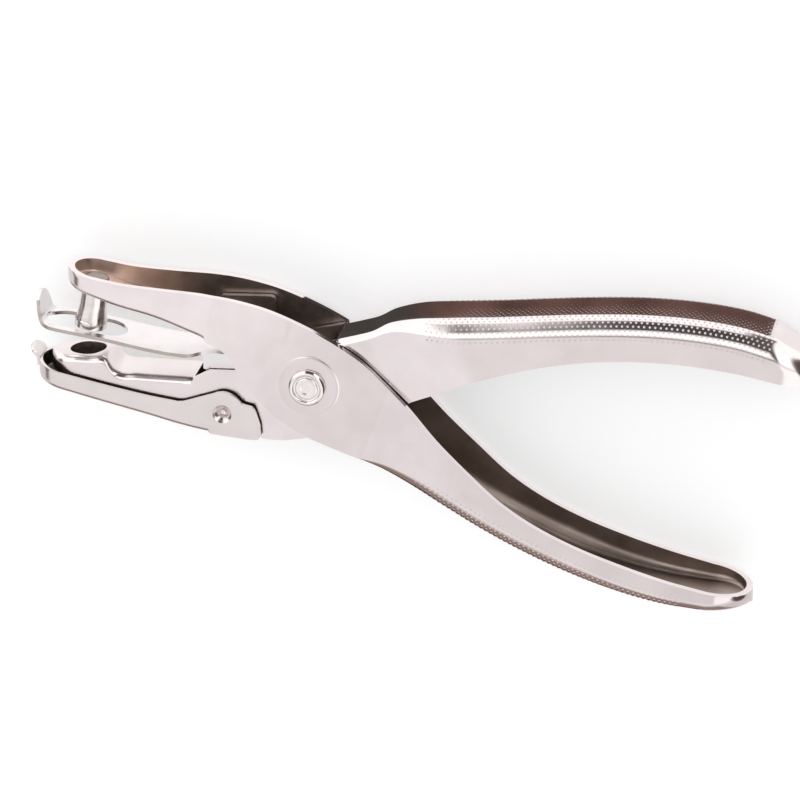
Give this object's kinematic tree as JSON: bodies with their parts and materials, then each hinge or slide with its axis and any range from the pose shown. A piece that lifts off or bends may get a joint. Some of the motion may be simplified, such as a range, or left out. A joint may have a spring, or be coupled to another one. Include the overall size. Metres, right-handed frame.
{
  "type": "single hole punch",
  "caption": "Plier-type paper punch with crossed stamped steel levers, a sprung pivot, a punch pin over a die, a slotted paper guide and a hinged chip tray.",
  "frame": {"origin": "on the pivot's axis, at the flat outer face of the far rivet head, which is the plane that the punch lies on", "axes": "+X from the jaws towards the handles, +Y towards the upper handle, +Z along the pivot, up from the side that it lies on"},
  "size_m": [0.1324, 0.0523, 0.0144],
  "materials": {
    "plated_sheet": "polished nickel plate on stamped steel",
    "thin_plated_sheet": "bright nickel plate on thin steel",
    "turned_steel": "fine turned and plated",
    "rivet_nickel": "nickel plate with upset rings",
    "spring_steel": "drawn spring wire, satin"
  },
  "bodies": {
    "outer_lever": {"upper_jaw_lever": "plated_sheet", "punch_pin": "turned_steel", "pivot_rivet": "rivet_nickel", "spring_bush": "turned_steel", "return_spring": "spring_steel"},
    "inner_lever": {"lower_jaw_lever": "plated_sheet", "stripper_plate": "thin_plated_sheet"},
    "tray": {"chip_tray": "thin_plated_sheet"}
  },
  "joints": [
    {"name": "handle_squeeze", "type": "hinge", "parent": "outer_lever", "child": "inner_lever", "pos_m": [0, 0, 0.0072], "axis": [0, 0, -1], "range_deg": [0, 8.3], "stiffness_Nm_per_rad": 2.5, "springref_deg": -8.59, "deforming": ["return_spring"]},
    {"name": "tray_hinge", "type": "hinge", "parent": "inner_lever", "child": "tray", "pos_m": [-0.0143, -0.0058, 0.0072], "axis": [0, 0, 1], "range_deg": [0, 28]}
  ]
}
